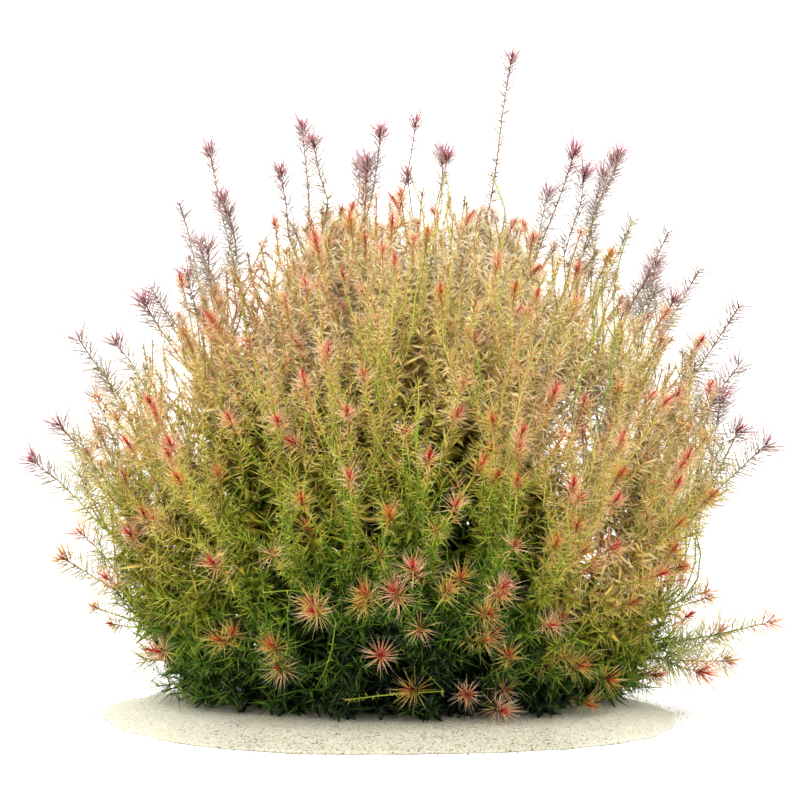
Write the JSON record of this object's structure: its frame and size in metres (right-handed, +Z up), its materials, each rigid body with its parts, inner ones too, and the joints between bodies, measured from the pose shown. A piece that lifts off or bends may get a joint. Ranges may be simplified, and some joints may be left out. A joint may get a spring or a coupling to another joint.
{
  "type": "red mayaca plant clump",
  "caption": "Dense clump of a bushy aquarium stem plant with needle leaves and red crowns, rooted in a thin loose patch of pale sand.",
  "frame": {"origin": "on the sand's flat underside, below the middle of the plant", "axes": "+Z up; the clump's fuller front faces -Y, and its long side lies along X"},
  "size_m": [0.2986, 0.1889, 0.2679],
  "materials": {
    "sand": "matte",
    "tall_foliage": "satin",
    "top_foliage": "satin",
    "left_foliage": "satin",
    "right_foliage": "satin",
    "front_foliage": "satin",
    "back_foliage": "satin"
  },
  "bodies": {
    "root": {"sand_bed": "sand", "tall_stem": "tall_foliage", "top_stem_1": "top_foliage", "top_stem_2": "top_foliage", "top_stem_3": "top_foliage", "top_stem_4": "top_foliage", "top_stem_5": "top_foliage", "top_stem_6": "top_foliage", "top_stem_7": "top_foliage", "top_stem_8": "top_foliage", "left_stem_1": "left_foliage", "left_stem_2": "left_foliage", "left_stem_3": "left_foliage", "left_stem_4": "left_foliage", "left_stem_5": "left_foliage", "left_stem_6": "left_foliage", "left_stem_7": "left_foliage", "left_stem_8": "left_foliage", "left_stem_9": "left_foliage", "left_stem_10": "left_foliage", "right_stem_1": "right_foliage", "right_stem_2": "right_foliage", "right_stem_3": "right_foliage", "right_stem_4": "right_foliage", "right_stem_5": "right_foliage", "right_stem_6": "right_foliage", "right_stem_7": "right_foliage", "right_stem_8": "right_foliage", "right_stem_9": "right_foliage", "front_stem_1": "front_foliage", "front_stem_2": "front_foliage", "front_stem_3": "front_foliage", "front_stem_4": "front_foliage", "front_stem_5": "front_foliage", "front_stem_6": "front_foliage", "front_stem_7": "front_foliage", "front_stem_8": "front_foliage", "front_stem_9": "front_foliage", "front_stem_10": "front_foliage", "front_stem_11": "front_foliage", "front_stem_12": "front_foliage", "front_stem_13": "front_foliage", "front_stem_14": "front_foliage", "front_stem_15": "front_foliage", "front_stem_16": "front_foliage", "front_stem_17": "front_foliage", "front_stem_18": "front_foliage", "back_stem_1": "back_foliage", "back_stem_2": "back_foliage", "back_stem_3": "back_foliage", "back_stem_4": "back_foliage", "back_stem_5": "back_foliage", "back_stem_6": "back_foliage", "back_stem_7": "back_foliage", "back_stem_8": "back_foliage", "back_stem_9": "back_foliage", "back_stem_10": "back_foliage", "back_stem_11": "back_foliage", "back_stem_12": "back_foliage"}
  },
  "joints": []
}
